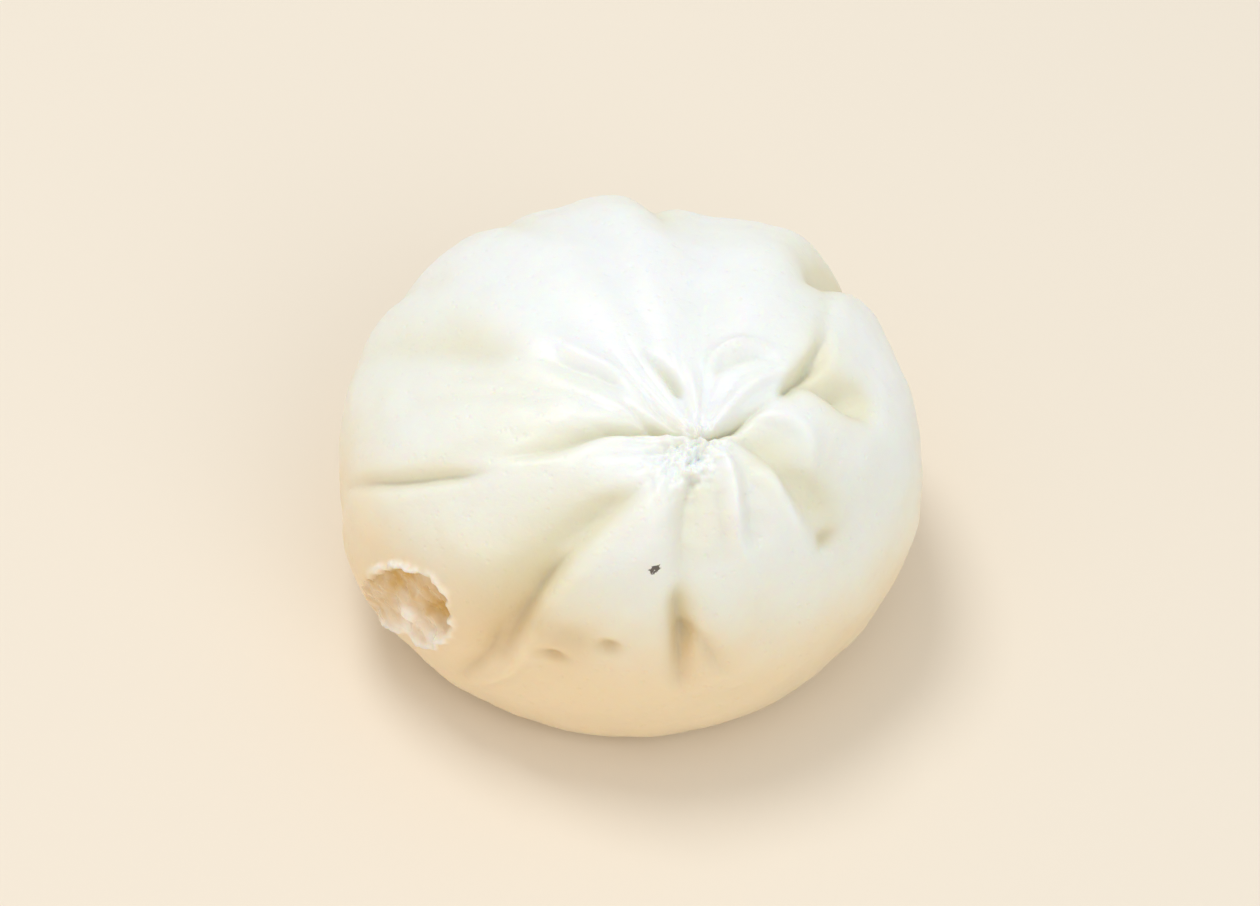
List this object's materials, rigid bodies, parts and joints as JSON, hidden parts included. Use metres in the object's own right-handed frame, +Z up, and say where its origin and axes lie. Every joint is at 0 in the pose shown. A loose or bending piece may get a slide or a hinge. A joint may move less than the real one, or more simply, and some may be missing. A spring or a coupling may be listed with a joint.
{
  "type": "xiaolongbao steamed bun",
  "caption": "Small steamed bun of soft white dough, its pleats gathered into an off-centre pinched knot, on a flat base.",
  "frame": {"origin": "middle of the base, on the surface that the bun stands on", "axes": "+Z up through the bun; -Y is the front, the side that the pinched knot leans to; +X is to the right seen from the front"},
  "size_m": [0.0674, 0.0672, 0.0422],
  "materials": {
    "dough": "satin"
  },
  "bodies": {
    "root": {"bun": "dough"}
  },
  "joints": []
}
